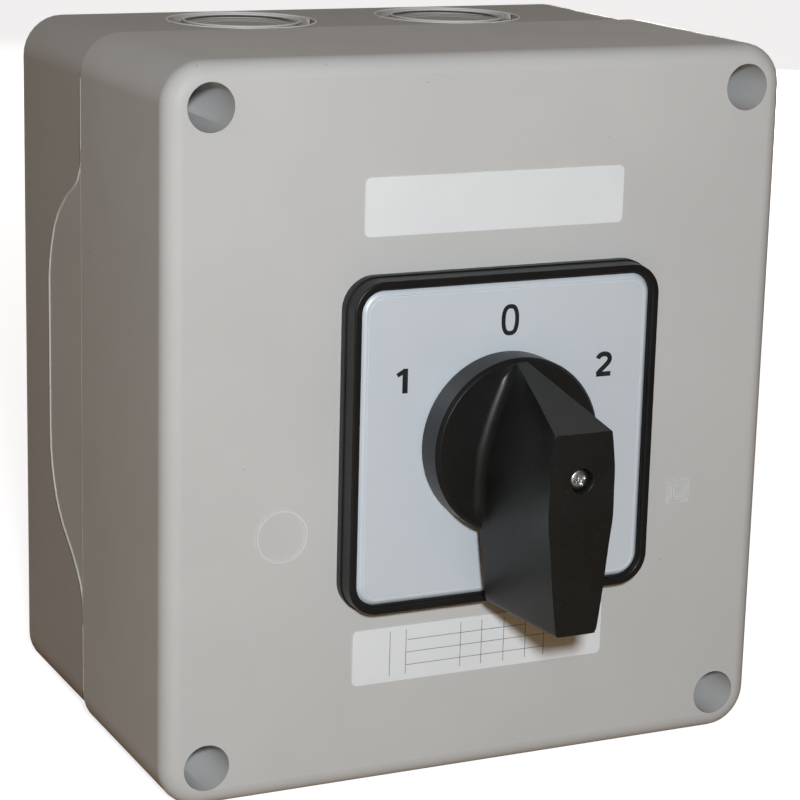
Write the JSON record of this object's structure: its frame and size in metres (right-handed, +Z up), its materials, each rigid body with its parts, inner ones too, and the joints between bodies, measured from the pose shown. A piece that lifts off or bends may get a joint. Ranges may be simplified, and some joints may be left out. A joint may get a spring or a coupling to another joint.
{
  "type": "reversing drum switch",
  "caption": "Wall-mounted reversing changeover switch: a grey two-part box with a rotary grip on a silver dial, and a cam switch with terminals hung behind the cover.",
  "frame": {"origin": "centre of the flat rear face that lies on the wall", "axes": "+X to the right as seen from the front, +Y into the wall, +Z up"},
  "size_m": [0.174, 0.1658, 0.191],
  "materials": {
    "box_grey": "satin moulded thermoplastic",
    "cover_grey": "satin moulded thermoplastic",
    "frame_black": "semi-gloss black moulding",
    "handle_black": "fine-grained black moulding",
    "legend_silver": "silver anodised plate with printed numbers",
    "sticker": "white film",
    "seal_rubber": "black elastomer",
    "zinc_steel": "zinc plated",
    "spring_steel": "bright spring wire",
    "brass": "turned",
    "copper": "bright rolled copper",
    "switch_cream": "moulded switch housing",
    "cam_plastic": "moulded",
    "plunger_black": "moulded"
  },
  "bodies": {
    "base": {"base": "box_grey", "threaded_inserts": "brass", "earth_bar": "brass", "earth_screws": "zinc_steel"},
    "cover": {"cover": "cover_grey", "cover_gasket": "seal_rubber", "cover_screws": "zinc_steel", "dial_frame": "frame_black", "frame_gasket": "seal_rubber", "legend_plate": "legend_silver", "mounting_screws": "zinc_steel", "top_label": "sticker", "rating_label": "sticker", "shaft_seal": "seal_rubber", "latch_housing": "switch_cream", "latch_plate": "switch_cream", "detent_springs": "spring_steel", "deck_1": "switch_cream", "deck_2": "switch_cream", "deck_3": "switch_cream", "contact_springs": "spring_steel", "fixed_contacts_1": "copper", "fixed_contacts_2": "copper", "fixed_contacts_3": "copper", "terminal_screws": "zinc_steel", "supply_links": "copper", "reversing_links": "copper", "end_plate": "zinc_steel", "tie_rods": "zinc_steel", "tie_nuts": "zinc_steel"},
    "rotor": {"handle": "handle_black", "handle_screw": "zinc_steel", "shaft": "zinc_steel", "star_wheel": "cam_plastic", "cam_1": "cam_plastic", "cam_2": "cam_plastic", "cam_3": "cam_plastic"},
    "contact_1a": {"plunger_1a": "plunger_black", "bridge_1a": "copper"},
    "contact_1b": {"plunger_1b": "plunger_black", "bridge_1b": "copper"},
    "contact_2a": {"plunger_2a": "plunger_black", "bridge_2a": "copper"},
    "contact_2b": {"plunger_2b": "plunger_black", "bridge_2b": "copper"},
    "contact_3a": {"plunger_3a": "plunger_black", "bridge_3a": "copper"},
    "contact_3b": {"plunger_3b": "plunger_black", "bridge_3b": "copper"}
  },
  "joints": [
    {"name": "cover_lift", "type": "slide", "parent": "base", "child": "cover", "axis": [0, -1, 0], "range_m": [0, 0.08]},
    {"name": "handle_turn", "type": "hinge", "parent": "cover", "child": "rotor", "pos_m": [0.003, -0.1235, -0.003], "axis": [0, 1, 0], "range_deg": [-60, 60], "deforming": ["detent_springs"]},
    {"name": "contact_slide_1a", "type": "slide", "parent": "cover", "child": "contact_1a", "axis": [-1, 0, 0], "range_m": [-0.0031, 0.0031], "deforming": ["contact_springs"]},
    {"name": "contact_slide_1b", "type": "slide", "parent": "cover", "child": "contact_1b", "axis": [1, 0, 0], "range_m": [-0.0031, 0.0031]},
    {"name": "contact_slide_2a", "type": "slide", "parent": "cover", "child": "contact_2a", "axis": [-1, 0, 0], "range_m": [-0.0031, 0.0031]},
    {"name": "contact_slide_2b", "type": "slide", "parent": "cover", "child": "contact_2b", "axis": [1, 0, 0], "range_m": [-0.0031, 0.0031]},
    {"name": "contact_slide_3a", "type": "slide", "parent": "cover", "child": "contact_3a", "axis": [-1, 0, 0], "range_m": [-0.0031, 0.0031]},
    {"name": "contact_slide_3b", "type": "slide", "parent": "cover", "child": "contact_3b", "axis": [1, 0, 0], "range_m": [-0.0031, 0.0031]}
  ],
  "couplings": [
    {"joint": "contact_slide_1a", "follows": "handle_turn", "m_per_rad": 0.0028648},
    {"joint": "contact_slide_1b", "follows": "handle_turn", "m_per_rad": -0.0028648},
    {"joint": "contact_slide_2a", "follows": "handle_turn", "m_per_rad": 0.0028648},
    {"joint": "contact_slide_2b", "follows": "handle_turn", "m_per_rad": -0.0028648},
    {"joint": "contact_slide_3a", "follows": "handle_turn", "m_per_rad": 0.0028648},
    {"joint": "contact_slide_3b", "follows": "handle_turn", "m_per_rad": -0.0028648}
  ]
}
